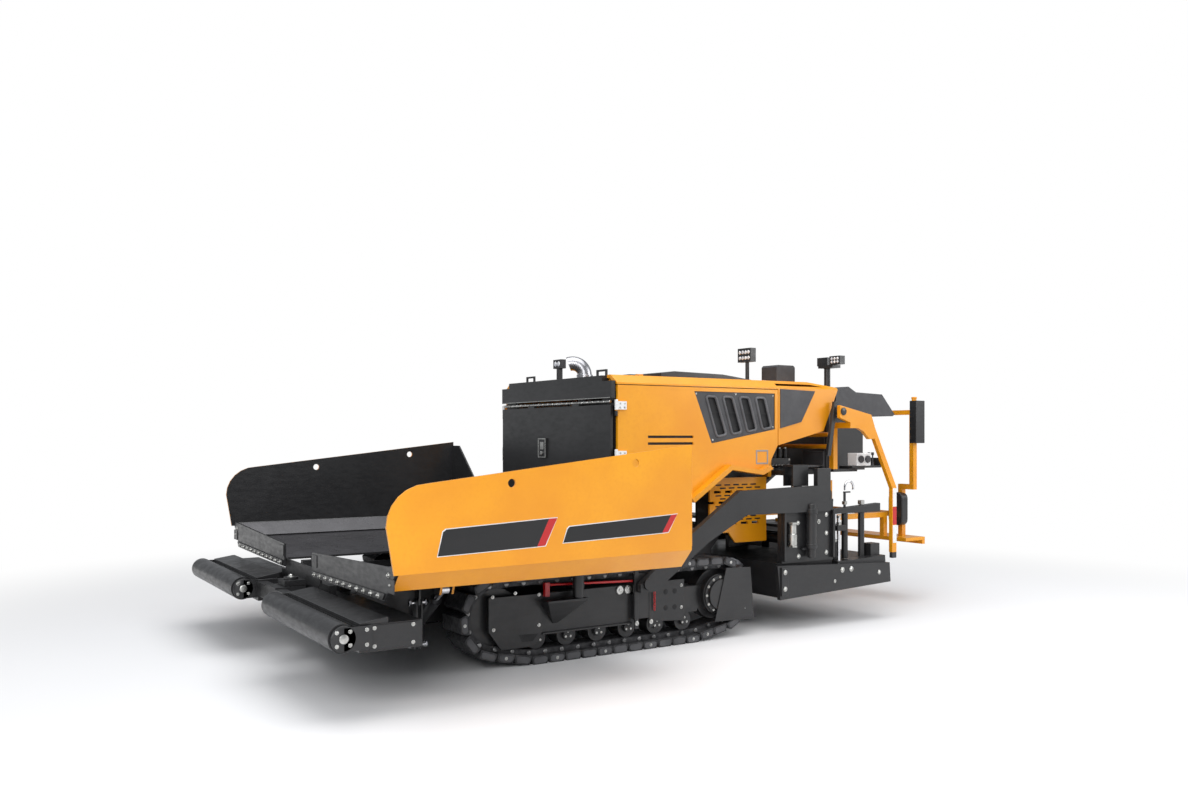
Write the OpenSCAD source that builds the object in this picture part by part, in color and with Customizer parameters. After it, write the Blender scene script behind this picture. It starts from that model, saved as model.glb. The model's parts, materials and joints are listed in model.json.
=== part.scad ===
// Small tracked asphalt paver, millimetres, +X forward, +Y to its left, +Z up.

/* [Overall] */
// Half the length, push rollers' front to step's rear
half_len = 2498; // [2470:1:2560]
// Plate thickness of frame plates
plate = 20; // [16:1:24]

/* [Tracks] */
// Track centre line from the middle
track_y = 750; // [745:1:755]
// Shoe width
shoe_w = 230; // [200:1:240]
// Outer radius of the loop over its wheels
loop_r = 235; // [230:1:240]
// Height of the end wheels' axes
end_z = 279; // [270:1:290]
// Front wheel axis
idler_x = 1358; // [1330:1:1380]
// Drive wheel axis
drive_x = -205; // [-215:1:-195]
// Shoe count round the loop
shoes = 40; // [36:1:42]
// Shoe pad thickness
pad_t = 45; // [36:1:48]
// Chain band thickness
band_t = 30; // [24:1:32]

/* [Hopper] */
// Outer face of a wing
wing_y = 1511; // [1490:1:1540]
// Wing hinge from the middle
fold_y = 330; // [320:1:345]
// Wing hinge height
fold_z = 500; // [495:1:510]
// Rear edge of the wings
wing_rear_x = 540; // [538:1:560]
// Top edge height at the rear
wing_rear_z = 1228; // [1180:1:1260]
// Top edge height where the front arc starts
wing_front_z = 1059; // [1040:1:1090]
// Sheet thickness of the wings
sheet = 12; // [10:1:14]
// Radius of the lashing eyes
eye_r = 21; // [18:0.5:25]
// Front flap plane
flap_x = 2195; // [2185:1:2200]

/* [Push rollers] */
// Roller radius
roller_r = 66; // [60:1:72]
// Inner end of a roller from the middle
roller_in = 335; // [330:1:360]
// Outer end of a roller
roller_out = 1430; // [1400:1:1450]
// Roller axis height
roller_z = 380; // [370:1:390]

/* [Hood] */
// Hood side face
hood_y = 720; // [715:1:725]
// Hood roof height
hood_z = 1650; // [1640:1:1670]
// Front face of the cabinet
cab_x = 523; // [520:1:526]
// Seam between door and lid
seam_z = 1500; // [1490:1:1510]
// Side door thickness
skin = 20; // [16:1:24]

/* [Screed] */
// Tow point along the machine
tow_x = 400; // [390:1:410]
// Tow point height
tow_z = 400; // [395:1:410]
// Inner face of a tow arm
tow_y = 880; // [878:1:885]
// Tow arm thickness
tow_t = 40; // [34:1:44]
// Outer face of the end gates
gate_y = 935; // [932:1:945]
// Guide tube radius
tube_r = 35; // [30:1:38]
// Guide tube height
tube_z = 560; // [550:1:570]

/* [Augers] */
// Auger radius
auger_r = 112; // [100:1:114]
// Auger axis along the machine
auger_x = -545; // [-548:1:-540]
// Auger axis height
auger_z = 345; // [340:1:360]

/* [Hidden] */
// running play round pins
play = 0.05;
$fn = 40;
roller_x = half_len - roller_r;
track_in = track_y - shoe_w / 2;
track_out = track_y + shoe_w / 2;
chain_r = loop_r - pad_t;
wheel_r = chain_r - band_t - 1;
ground_rear = 20;
ground_front = 1130;
LOOP = [[ground_rear, loop_r], [ground_front, loop_r], [idler_x, end_z], [drive_x, end_z]];
frame_y = 500;
floor_z = 400;
frame_rear = -400;
door_hinge_z = seam_z - 16;
TUBES = [-1010, -1120];
yellow = [0.95, 0.65, 0.05];
black = [0.13, 0.13, 0.14];
grey = [0.35, 0.35, 0.37];
steel = [0.7, 0.7, 0.72];
red = [0.8, 0.1, 0.1];

// a box from corner to corner
module bx(x0, x1, y0, y1, z0, z1)
  translate([x0, y0, z0]) cube([x1 - x0, y1 - y0, z1 - z0]);
// a side view outline, thick from y0 to y1
module side(y0, y1) translate([0, y1, 0]) rotate([90, 0, 0]) linear_extrude(y1 - y0) children();
// a front view outline, thick from x0 to x1
module front(x0, x1) translate([x0, 0, 0]) rotate([90, 0, 90]) linear_extrude(x1 - x0) children();
// rounds along the three axes
module cy(x, y0, y1, z, r) translate([x, y1, z]) rotate([90, 0, 0]) cylinder(h = y1 - y0, r = r);
module cx(x0, x1, y, z, r) translate([x0, y, z]) rotate([0, 90, 0]) cylinder(h = x1 - x0, r = r);
module cz(x, y, z0, z1, r) translate([x, y, z0]) cylinder(h = z1 - z0, r = r);
module left_right(s) mirror([0, s < 0 ? 1 : 0, 0]) children();

// frame with the conveyor tunnel
module chassis() color(black) {
  for (s = [1, -1]) left_right(s) {
    side(frame_y - plate, frame_y) polygon([[frame_rear, 230], [2130, 230], [2130, 400], [1900, 470],
      [520, 470], [520, 640], [frame_rear, 640]]);
    // cross tubes to the track frames
    for (x = [180, 900]) bx(x, x + 140, frame_y, track_y - 70, 200, 330);
    // wing hinge bearers
    for (x = [620, 1320, 2020])
      difference() {
        bx(x, x + 60, fold_y - 30, fold_y + 30, floor_z + plate, fold_z + 22);
        cx(x - 1, x + 61, fold_y, fold_z, 18 + play);
      }
    // barrel brackets under the frame
    for (d = [-48, 36]) bx(1750 + d, 1762 + d, frame_y - plate, 557, 150, 300);
    cx(1702, 1798, 532, 180, 14);
  }
  bx(frame_rear, 2130, -frame_y + plate, frame_y - plate, 230, 230 + plate);
  bx(frame_rear, 2130, -frame_y + plate, frame_y - plate, floor_z, floor_z + plate);
  bx(frame_rear, 520, -frame_y + plate, frame_y - plate, 620, 640);
  for (x = [300, 1100, 2110]) bx(x, x + plate, -frame_y + plate, frame_y - plate, 250, floor_z);
  // front beam and the pivot of the push beam
  difference() {
    union() {
      bx(2130, 2170, -450, 450, 250, 470);
      bx(2170, 2300, -70, 70, 300, 330);
      bx(2170, 2300, -70, 70, 430, 460);
    }
    cz(2245, 0, 260, 480, 25 + play);
  }
  // centre flap
  front(2170, 2182) polygon([[-270, 440], [270, 440], [330, 470], [330, 540], [-330, 540], [-330, 470]]);
}

module engine() color(grey) {
  bx(-330, 400, -260, 260, 640, 1280);
}

module hood_shell() color(yellow) {
  difference() {
    front(-820, 180) polygon([[-hood_y, hood_z - 60], [-hood_y, hood_z - 50], [-hood_y + 70, hood_z],
    [hood_y - 70, hood_z], [hood_y, hood_z - 50], [hood_y, hood_z - 60], [hood_y - 25, hood_z - 60],
    [hood_y - 80, hood_z - 20], [80 - hood_y, hood_z - 20], [25 - hood_y, hood_z - 60]]);
    cz(110, -250, hood_z - 21, hood_z + 1, 55.3);
  }
  // lid hinge lugs
  for (y = [-500, 480]) difference() {
    bx(140, 190, y, y + 20, hood_z, hood_z + 20);
    cy(180, y - 1, y + 21, hood_z + 10, 5 + play);
  }
  for (s = [1, -1]) left_right(s)
    front(180, 490) polygon([[hood_y, hood_z - 60], [hood_y, hood_z - 50], [hood_y - 70, hood_z],
      [hood_y - 110, hood_z], [hood_y - 110, hood_z - 20], [hood_y - 80, hood_z - 20],
      [hood_y - 25, hood_z - 60]]);
  // posts down to the frame
  for (s = [1, -1]) left_right(s) {
    bx(440, 470, 600, 660, 640, hood_z - 20);
    bx(420, 470, frame_y, 660, 620, 640);
    bx(-810, -780, 600, 660, 1000, hood_z - 20);
  }
}

module hood_rear() color(yellow) {
  difference() {
    side(-hood_y, hood_y) polygon([[-820, 1213], [-820, hood_z], [-1150, hood_z],
      [-1388, 1615], [-1240, 1309]]);
    side(-hood_y + skin, hood_y - skin) polygon([[-800, 1193], [-800, hood_z - skin],
      [-1150, hood_z - skin], [-1362, 1600], [-1222, 1290]]);
    for (s = [1, -1]) left_right(s) front(-1400, -800) polygon([[hood_y - 70, hood_z],
      [hood_y, hood_z - 50], [hood_y + 20, hood_z - 50], [hood_y + 20, hood_z + 20],
      [hood_y - 70, hood_z + 20]]);
  }
}

module hood_door(s) color(yellow) left_right(s) {
  difference() {
    side(hood_y - skin, hood_y) polygon([[484, 735], [484, 1585], [-814, 1585], [-814, 1213],
      [-720, 1057], [-635, 1019], [-370, 1057], [-60, 856], [130, 735]]);
    side(hood_y - skin - 1, hood_y + 1) polygon([[-102, 1560], [-243, 1227], [-790, 1320], [-790, 1560]]);
    for (z = [1220, 1262]) bx(-95, 260, hood_y - skin - 1, hood_y + 1, z, z + 16);
  }
  // hinge leaves and pins
  for (z = [1130, 1430]) {
    bx(430, 500, hood_y, hood_y + 8, z, z + 60);
    cz(500, hood_y + 8, z, z + 60, 9);
    cz(500, hood_y + 8, z - 32, z + 10, 5);
  }
  // flared lower lip
  side(hood_y, hood_y + 60) polygon([[-720, 1057], [-635, 1019], [-370, 1057], [-60, 856], [-40, 880],
    [-360, 1090], [-630, 1050], [-700, 1080]]);
}

module vent(s) color(grey) left_right(s) difference() {
  side(hood_y - skin, hood_y - 6) polygon([[-102, 1560], [-243, 1227], [-790, 1320], [-790, 1560]]);
  for (i = [0:3])
    side(hood_y - skin - 1, hood_y + 1)
      polygon([[-200 - 140 * i, 1530], [-290 - 130 * i, 1270 + 16 * i], [-370 - 130 * i, 1284 + 16 * i],
        [-280 - 140 * i, 1530]]);
}

module front_panel() color(black) {
  bx(490, cab_x, -694, 694, 640, 995);
  for (s = [1, -1]) left_right(s) {
    bx(470, 490, 560, 694, 640, 1550);
    // side door hinge lugs
    for (z = [1098, 1398]) difference() {
      union() {
        bx(480, 490, 680, 694, z, z + 30);
        bx(490, 500, 680, hood_y + 8, z, z + 30);
        cz(500, hood_y + 8, z, z + 30, 9);
      }
      cz(500, hood_y + 8, z - 1, z + 31, 5 + play);
    }
  }
  bx(470, 490, -560, 560, 1440, 1470);
  // front door hinge lugs
  for (y = [-352, 332]) difference() {
    union() {
      bx(470, 509, y, y + 20, 1470, door_hinge_z + 10);
      cy(509, y, y + 20, door_hinge_z, 10);
    }
    cy(509, y - 1, y + 21, door_hinge_z, 5 + play);
  }
}

module front_door() color(black) {
  bx(505, cab_x, -700, 700, 1000, 1464);
  for (y = [-328, 248]) {
    cy(509, y, y + 80, door_hinge_z, 10);
    bx(503, 519, y, y + 80, 1464, door_hinge_z);
  }
  cy(509, -354, -300, door_hinge_z, 5);
  cy(509, 300, 354, door_hinge_z, 5);
  // latch plate
  bx(cab_x, cab_x + 14, -160, -60, 1130, 1260);
}

module front_lid() color(black) {
  bx(495, cab_x, -709, 709, seam_z + 5, 1610);
  bx(186, 495, -604, 604, 1630, 1646);
  bx(484, 495, -604, 604, 1560, 1630);
  bx(495, cab_x, -604, 604, 1610, 1646);
  // hinge knuckles and pins
  for (y = [-476, 396]) {
    bx(180, 230, y, y + 80, 1646, hood_z + 19);
    cy(180, y, y + 80, hood_z + 10, 9);
  }
  cy(180, -502, -470, hood_z + 10, 5);
  cy(180, 470, 502, hood_z + 10, 5);
  // handles
  for (y = [-480, 430]) {
    bx(440, 452, y, y + 12, 1646, 1690);
    bx(440, 452, y + 100, y + 112, 1646, 1690);
    bx(440, 452, y + 12, y + 100, 1678, 1690);
  }
}

module exhaust() color(steel) {
  cz(110, -250, 1500, 1706, 55);
  translate([110, -250, 1700]) rotate([0, 0, -33]) translate([85, 0, 0]) rotate([90, 0, 0])
    rotate([0, 0, 70]) rotate_extrude(angle = 110) translate([85, 0]) circle(50);
}

module lamp_front() color(black) {
  bx(390, 420, -115, -85, 1646, 1730);
  bx(385, 425, -150, -50, 1730, 1790);
}

module lamp_hood() color(black) {
  cz(-1000, 200, hood_z, 1810, 14);
  bx(-1020, -970, 130, 270, 1810, 1910);
}

module lamp_mast() color(black) {
  cz(-1440, 560, 1040, 1760, 22);
  bx(-1470, -1390, 520, 660, 1760, 1780);
  bx(-1430, -1380, 640, 740, 1780, 1840);
  bx(-1480, -1430, 470, 570, 1780, 1840);
}

module side_panel(s) color(yellow) left_right(s) difference() {
  side(640, 655) polygon([[-280, 640], [-280, 1000], [-770, 1000], [-770, 570], [-500, 570], [-440, 640]]);
  for (i = [0:3]) for (k = [0:4])
    bx(-700 + 95 * k + 40 * (i % 2), -640 + 95 * k + 40 * (i % 2), 630, 660, 690 + 70 * i, 706 + 70 * i);
}

function loop_pt(i) = LOOP[i % 4];
function edge_len(i) = norm(loop_pt(i + 1) - loop_pt(i));
function edge_dir(i) = (loop_pt(i + 1) - loop_pt(i)) / edge_len(i);
function edge_ang(i) = atan2(edge_dir(i)[1], edge_dir(i)[0]);
function turn(i) = let (a = edge_ang(i + 1) - edge_ang(i)) a < 0 ? a + 360 : a;
function arc_len(i) = chain_r * turn(i) * PI / 180;
// place and heading of a shoe that far along the loop
function on_loop(s, i) =
  s < edge_len(i) ? concat(loop_pt(i) + edge_dir(i) * s
      + chain_r * [sin(edge_ang(i)), -cos(edge_ang(i))], edge_ang(i))
  : s < edge_len(i) + arc_len(i) ?
      let (a = edge_ang(i) + (s - edge_len(i)) / chain_r * 180 / PI)
      concat(loop_pt(i + 1) + chain_r * [sin(a), -cos(a)], a)
  : on_loop(s - edge_len(i) - arc_len(i), i + 1);
loop_len = edge_len(0) + edge_len(1) + edge_len(2) + edge_len(3) + 2 * PI * chain_r;

module track(s) color(black) left_right(s) {
  side(track_y - 60, track_y + 60) difference() {
    offset(r = chain_r) polygon(LOOP);
    offset(r = chain_r - band_t) polygon(LOOP);
  }
  side(track_in, track_out) for (i = [0:shoes - 1]) let (p = on_loop(loop_len * i / shoes, 0))
    translate([p[0], p[1]]) rotate(p[2])
      polygon([[-52, 4], [52, 4], [52, -18], [42, -pad_t], [-42, -pad_t], [-52, -18]]);
}

module track_frame(s) color(black) left_right(s) {
  bx(-60, 1180, track_y - 70, track_y + 50, 180, 340);
  // end wheels with their hubs
  for (x = [idler_x, drive_x]) cy(x, track_y - 40, track_y + 40, end_z, wheel_r);
  bx(1180, 1400, track_y - 70, track_y - 40, 220, 330);
  bx(1180, 1400, track_y + 40, track_y + 60, 220, 330);
  cy(drive_x, track_y - 100, track_out + 3, end_z, 95);
  bx(-240, -60, track_y - 70, track_y - 40, 200, 340);
  bx(-160, -60, track_y + 40, track_y + 50, 200, 340);
  for (x = [60, 270, 480, 690, 900, 1100]) cy(x, track_y - 55, track_y + 55, pad_t + band_t + 62.3, 62);
  for (x = [300, 800]) {
    cy(x, track_y - 30, track_y + 30, end_z + wheel_r - 45, 45);
    bx(x - 20, x + 20, track_y - 50, track_y - 30, 340, end_z + wheel_r - 30);
  }
  // guard plate over the drive end
  side(track_out + 3, track_out + 9) polygon([[-237, 445], [-436, 438], [-466, 109], [-144, 115]]);
  // tow point bracket, its guide rails and pin
  bx(tow_x - 70, tow_x + 70, track_y + 50, tow_y - 8, 190, 330);
  bx(tow_x - 70, tow_x + 70, tow_y - 20, tow_y - 8, 330, 460);
  cy(tow_x, tow_y - 20, tow_y + tow_t + 12, tow_z, 24);
  cy(tow_x, tow_y + tow_t + 1, tow_y + tow_t + 14, tow_z, 36);
}

module conveyor() color(grey) {
  for (x = [-436, 2076]) bx(x, x + 20, -280, 280, floor_z + plate, floor_z + plate + 12);
  for (s = [1, -1]) left_right(s) {
    bx(-440, 2100, 20, 45, floor_z + plate, floor_z + plate + 12);
    bx(-440, 2100, 255, 280, floor_z + plate, floor_z + plate + 12);
    for (i = [0:12]) bx(-420 + 205 * i, -396 + 205 * i, 45, 255, floor_z + plate, floor_z + plate + 16);
  }
}

module rear_frame() color(black) {
  // bulkhead behind the tunnel and the bearers of hood and console
  for (s = [1, -1]) left_right(s) {
    side(frame_y - plate, frame_y) polygon([[frame_rear, 640], [frame_rear, 500], [-640, 760],
      [-1000, 1000], [-1400, 1000], [-1400, 1040], [-300, 1040], [-300, 640]]);
    bx(-810, -300, frame_y, 640, 980, 1000);
    bx(-770, -750, frame_y, 640, 720, 980);
    // lift cylinder bracket
    bx(-980, -840, frame_y, 744, 1010, 1040);
    for (y = [744, 826]) side(y, y + 12) polygon([[-980, 940], [-980, 1070], [-840, 1070], [-840, 940]]);
    bx(-980, -840, 744, 838, 1070, 1082);
    cy(-910, 744, 838, 980, 15);
    // auger end bearings
    difference() {
      union() {
        bx(auger_x - 45, frame_rear, 590, 610, 290, 400);
        bx(frame_rear - 20, frame_rear, frame_y - plate, 590, 300, 400);
        bx(frame_rear - 20, frame_rear, frame_y - plate, frame_y, 300, 640);
      }
      cy(auger_x, 580, 620, auger_z, 25 + play);
    }
  }
  bx(-1400, -820, -frame_y + plate, frame_y - plate, 1020, 1040);
  bx(frame_rear - 62, frame_rear, -frame_y + plate, frame_y - plate, 605, 640);
  // auger centre drive
  difference() {
    union() {
      bx(auger_x - 60, frame_rear - 42, -30, 30, 285, 405);
      bx(frame_rear - 62, frame_rear - 42, -30, 30, 405, 640);
    }
    cy(auger_x, -40, 40, auger_z, 25 + play);
  }
}

module console_base() color(black) {
  bx(-1980, -1400, -420, 420, 1020, 1040);
  difference() {
    bx(-1960, -1640, -420, 420, 1040, 1420);
    bx(-1948, -1652, -408, 408, 1040, 1408);
  }
  for (s = [1, -1]) left_right(s) bx(-1640, -1400, 420, 660, 1020, 1040);
  // cover hinge lugs
  for (y = [-360, 340]) difference() {
    bx(-1640, -1606, y, y + 20, 1392, 1420);
    cy(-1620, y - 1, y + 21, 1406, 6 + play);
  }
}

module console_cover() color(grey) {
  difference() {
    side(-500, 500) polygon([[-1590, 1426], [-1590, 1600], [-1720, 1640], [-1800, 1600], [-2080, 1590],
      [-2220, 1440], [-2200, 1426]]);
    side(-480, 480) polygon([[-1610, 1425], [-1610, 1585], [-1720, 1618], [-1800, 1580], [-2070, 1570],
      [-2190, 1440], [-2180, 1425]]);
  }
  for (y = [-338, 278]) {
    bx(-1630, -1610, y, y + 60, 1400, 1430);
    bx(-1630, -1600, y, y + 60, 1425, 1440);
  }
  cy(-1620, -362, -300, 1406, 6);
  cy(-1620, 300, 362, 1406, 6);
}

module guard(s) color(yellow) left_right(s) {
  side(790, 820) polygon([[-1400, 1380], [-1600, 1424], [-1870, 907], [-1870, 440], [-1825, 440],
    [-1825, 900], [-1640, 1260], [-1480, 1330], [-1400, 1330]]);
  bx(-1440, -1400, 660, 790, 1330, 1370);
  bx(-1440, -1400, 620, 660, 1040, 1370);
}

module push_beam() color(black) {
  bx(2185, 2360, -90, 90, 332, 428);
  cz(2245, 0, 296, 464, 25);
  cz(2245, 0, 462, 474, 40);
  bx(2300, 2360, -roller_out - 18, roller_out + 18, 340, 420);
  for (s = [1, -1]) left_right(s) {
    for (y = [roller_in - 18, roller_out + 4]) difference() {
      union() {
        bx(2300, roller_x, y, y + 14, 330, 430);
        cy(roller_x, y, y + 14, roller_z, 50);
      }
      cy(roller_x, y - 1, y + 15, roller_z, 20 + play);
    }
  }
}

module push_roller(s) color(black) left_right(s) {
  cy(roller_x, roller_in, roller_out, roller_z, roller_r);
  cy(roller_x, roller_in - 22, roller_out + 22, roller_z, 20);
}

module wing(s) color(yellow) left_right(s) {
  // outer sheet, its top rising to the rear
  difference() {
    side(wing_y - sheet, wing_y) polygon(concat([[2222, 650], [2240, 760], [2258, 866]],
    [for (a = [15:15:75]) [2258 - 201 * (1 - cos(a)), 866 + 193 * sin(a)]],
    [[2057, wing_front_z], [wing_rear_x, wing_rear_z], [wing_rear_x, 665]]));
    cy(1628, wing_y - sheet - 1, wing_y + 1, 1050, eye_r);
    cy(906, wing_y - sheet - 1, wing_y + 1, 1135, eye_r);
  }
  // bent lower edge and floor
  front(wing_rear_x, flap_x) polygon([[wing_y, 665], [wing_y - sheet, 672], [1412, 580], [fold_y + 36, 540],
    [fold_y + 36, 528], [1420, 566]]);
  for (x = [690, 1390, 1940]) {
    bx(x, x + 70, fold_y, fold_y + 60, fold_z - 16, fold_z + 20);
    bx(x, x + 70, fold_y + 36, fold_y + 60, fold_z, 534);
    cx(x, x + 70, fold_y, fold_z, 22);
  }
  // hinge pins
  for (x = [690, 1390]) cx(x - 75, x + 10, fold_y, fold_z, 18);
  cx(2000, 2085, fold_y, fold_z, 18);
  // rear wall
  front(wing_rear_x, wing_rear_x + sheet) polygon([[fold_y + 40, 535], [1420, 572], [wing_y - 4, 668],
    [wing_y - 4, 1200], [1380, 1200], [760, 640], [720, 600], [fold_y + 40, 580]]);
  // cylinder lugs
  for (d = [-40, 28]) front(1750 + d, 1762 + d) polygon([[930, 562], [1070, 566], [1030, 465], [970, 465]]);
}

module flap(s) color(black) left_right(s) {
  front(flap_x, flap_x + sheet) polygon([[270, 500], [270, 635], [wing_y - sheet, 680],
    [wing_y - sheet, 665], [1350, 515]]);
}

module hopper_barrel(s) color(black) left_right(s)
  translate([1750, 532, 180]) rotate([33.52, 0, 0]) {
    difference() {
      union() {
        cx(-22, 22, 0, 0, 26);
        translate([0, 20, 0]) rotate([-90, 0, 0]) cylinder(h = 420, r = 32);
      }
      cx(-23, 23, 0, 0, 14 + play);
      translate([0, 50, 0]) rotate([-90, 0, 0]) cylinder(h = 391, r = 18 + play);
    }
  }

module hopper_rod(s) color(steel) left_right(s)
  translate([1750, 532, 180]) rotate([33.52, 0, 0]) {
    translate([0, 62, 0]) rotate([-90, 0, 0]) cylinder(h = 490, r = 18);
    cx(-20, 20, 561.4, 0, 26);
    cx(-25, 25, 561.4, 0, 14);
  }

module tow_arm(s) color(black) left_right(s) difference() {
  side(tow_y, tow_y + tow_t) polygon([[455, 350], [455, 400], [360, 470], [74, 677], [-309, 928],
    [-1000, 944], [-1100, 850], [-1100, 773], [-367, 774], [-59, 620], [241, 421], [340, 350]]);
  cy(tow_x, tow_y - 1, tow_y + tow_t + 1, tow_z, 24 + play);
}

module screed_main() color(black) {
  difference() {
    side(-860, 860) polygon([[-680, 217], [-680, 440], [-1180, 460], [-1180, 238]]);
    for (s = [1, -1]) left_right(s) side(20, 840)
      polygon([[-700, 238], [-700, 422], [-1160, 440], [-1160, 258]]);
  }
  for (s = [1, -1]) left_right(s) {
    // arm mounts
    bx(-1170, -700, 840, tow_y, 440, 850);
    // lift lugs
    bx(-950, -870, 749, 840, 440, 470);
    for (y = [749, 821]) bx(-950, -870, y, y + 12, 470, 545);
  }
  // guide tubes with their bearers
  for (x = TUBES) cy(x, -840, 840, tube_z, tube_r);
  bx(-1170, -980, -20, 20, 440, 640);
  bx(-1180, -980, -840, 840, 640, 660);
}

module rear_step() color(yellow) {
  bx(-half_len, -2280, -557, 557, 470, 495);
  bx(-half_len, -2470, -557, 557, 440, 470);
  for (s = [1, -1]) left_right(s) {
    bx(-2450, -2410, 370, 410, 495, 874);
    bx(-2450, -2410, 480, 520, 900, 1477);
    bx(-2450, -2410, 370, 520, 860, 900);
    // bearers back from the screed
    bx(-2320, -1180, 300, 340, 640, 680);
    bx(-2320, -2280, 300, 340, 495, 640);
  }
  bx(-2450, -2410, -480, 480, 1440, 1477);
  bx(-2450, -2410, -370, 370, 640, 680);
}

module screed_ext(s) color(black) left_right(s) {
  difference() {
    side(20, 900) polygon([[-1200, 239], [-1200, 420], [-1660, 440], [-1675, 257]]);
    side(36, 884) polygon([[-1216, 258], [-1216, 404], [-1646, 422], [-1657, 276]]);
  }
  // yoke on the guide tubes
  difference() {
    union() {
      bx(-1640, -1230, 100, 180, 410, 620);
      bx(-1230, -960, 100, 180, 500, 620);
    }
    for (x = TUBES) cy(x, 99, 181, tube_z, tube_r + play);
  }
}

module end_gate(s) color(black) left_right(s) {
  side(gate_y - 30, gate_y) polygon([[-638, 214], [-612, 436], [-1667, 391], [-1677, 257]]);
  side(900, gate_y - 30) polygon([[-1230, 250], [-1230, 410], [-1640, 400], [-1650, 270]]);
}

module auger(s, $fn = 24) color(steel) left_right(s) {
  cy(auger_x, 20, 606, auger_z, 25);
  cy(auger_x, 36, 580, auger_z, 40);
  translate([auger_x, 40, auger_z]) rotate([-90, 0, 0])
    linear_extrude(height = 530, twist = 360 * 530 / 220, slices = 40)
      translate([30, -6]) square([auger_r - 30, 12]);
}

module lift_barrel(s) color(black) left_right(s) translate([-910, 791, 980]) {
  difference() {
    union() {
      cy(0, -22, 22, 0, 28);
      cz(0, 0, -300, -20, 32);
    }
    cy(0, -23, 23, 0, 15 + play);
    cz(0, 0, -301, -60, 18 + play);
  }
}

module lift_rod(s) color(steel) left_right(s) translate([-910, 791, 980]) {
  cz(0, 0, -462, -70, 18);
  cy(0, -22, 22, -470, 26);
}

chassis();
engine();
hood_shell();
hood_rear();
hood_door(1);  // hood_door_left
hood_door(-1);  // hood_door_right
vent(1);  // vent_left
vent(-1);  // vent_right
front_panel();
front_door();
front_lid();
exhaust();
lamp_front();
lamp_hood();
lamp_mast();
side_panel(1);  // side_panel_left
side_panel(-1);  // side_panel_right
track_frame(1);  // track_frame_left
track_frame(-1);  // track_frame_right
track(1);  // track_left
track(-1);  // track_right
conveyor();
rear_frame();
console_base();
console_cover();
guard(1);  // guard_left
guard(-1);  // guard_right
push_beam();
push_roller(1);  // push_roller_left
push_roller(-1);  // push_roller_right
wing(1);  // wing_left
wing(-1);  // wing_right
flap(1);  // flap_left
flap(-1);  // flap_right
hopper_barrel(1);  // hopper_barrel_left
hopper_barrel(-1);  // hopper_barrel_right
hopper_rod(1);  // hopper_rod_left
hopper_rod(-1);  // hopper_rod_right
tow_arm(1);  // tow_arm_left
tow_arm(-1);  // tow_arm_right
screed_main();
rear_step();
screed_ext(1);  // screed_ext_left
screed_ext(-1);  // screed_ext_right
end_gate(1);  // end_gate_left
end_gate(-1);  // end_gate_right
auger(1);  // auger_left
auger(-1);  // auger_right
lift_barrel(1);  // lift_barrel_left
lift_barrel(-1);  // lift_barrel_right
lift_rod(1);  // lift_rod_left
lift_rod(-1);  // lift_rod_right
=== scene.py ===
"""Looks of a small tracked asphalt paver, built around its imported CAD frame. Metres, +X forward."""
import json
import math

import bmesh
import bpy
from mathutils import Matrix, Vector


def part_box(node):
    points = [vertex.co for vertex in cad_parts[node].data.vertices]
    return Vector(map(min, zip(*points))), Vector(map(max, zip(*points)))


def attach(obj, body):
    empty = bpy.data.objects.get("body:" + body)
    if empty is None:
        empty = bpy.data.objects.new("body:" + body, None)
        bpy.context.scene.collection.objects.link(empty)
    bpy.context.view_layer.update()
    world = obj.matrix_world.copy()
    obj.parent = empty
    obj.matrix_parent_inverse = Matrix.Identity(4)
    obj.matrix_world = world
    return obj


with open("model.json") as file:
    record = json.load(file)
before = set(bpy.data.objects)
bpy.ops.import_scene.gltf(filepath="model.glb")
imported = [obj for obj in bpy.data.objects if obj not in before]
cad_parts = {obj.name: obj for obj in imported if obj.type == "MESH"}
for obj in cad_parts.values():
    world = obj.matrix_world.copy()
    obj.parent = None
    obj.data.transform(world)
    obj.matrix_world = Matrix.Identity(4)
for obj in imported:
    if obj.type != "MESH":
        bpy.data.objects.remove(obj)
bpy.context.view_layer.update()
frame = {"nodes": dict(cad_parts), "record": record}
NODES = frame["nodes"]
SIDES = (("left", 1), ("right", -1))
FORWARD = (1, 0, 0)
UP = (0, 0, 1)

# Camera of the photograph
CAMERA_AT = Vector((3.925, 5.814, 1.275))
CAMERA_ALONG = Vector((-0.5402, -0.8415, 0.0))
PHOTO_WIDTH = 1188
FOCAL_PIXELS = 1018
HORIZON_BELOW_MIDDLE = 36
SENSOR_MM = 36

# Colours, linear
YELLOW = (0.8, 0.33, 0.004)
YELLOW_DEEP = (0.7, 0.255, 0.003)
BLACK = (0.011, 0.011, 0.012)
BLACK_DUSTY = (0.021, 0.021, 0.022)
GREY = (0.034, 0.034, 0.038)
GREY_PALE = (0.052, 0.052, 0.056)
RUBBER = (0.016, 0.016, 0.018)
RUBBER_WORN = (0.05, 0.05, 0.053)
STEEL = (0.42, 0.42, 0.44)
STEEL_DARK = (0.2, 0.2, 0.21)
CHROME = (0.8, 0.8, 0.82)
RED = (0.55, 0.01, 0.014)
WHITE = (0.8, 0.8, 0.8)
FLOOR = (0.8, 0.8, 0.81)


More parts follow.
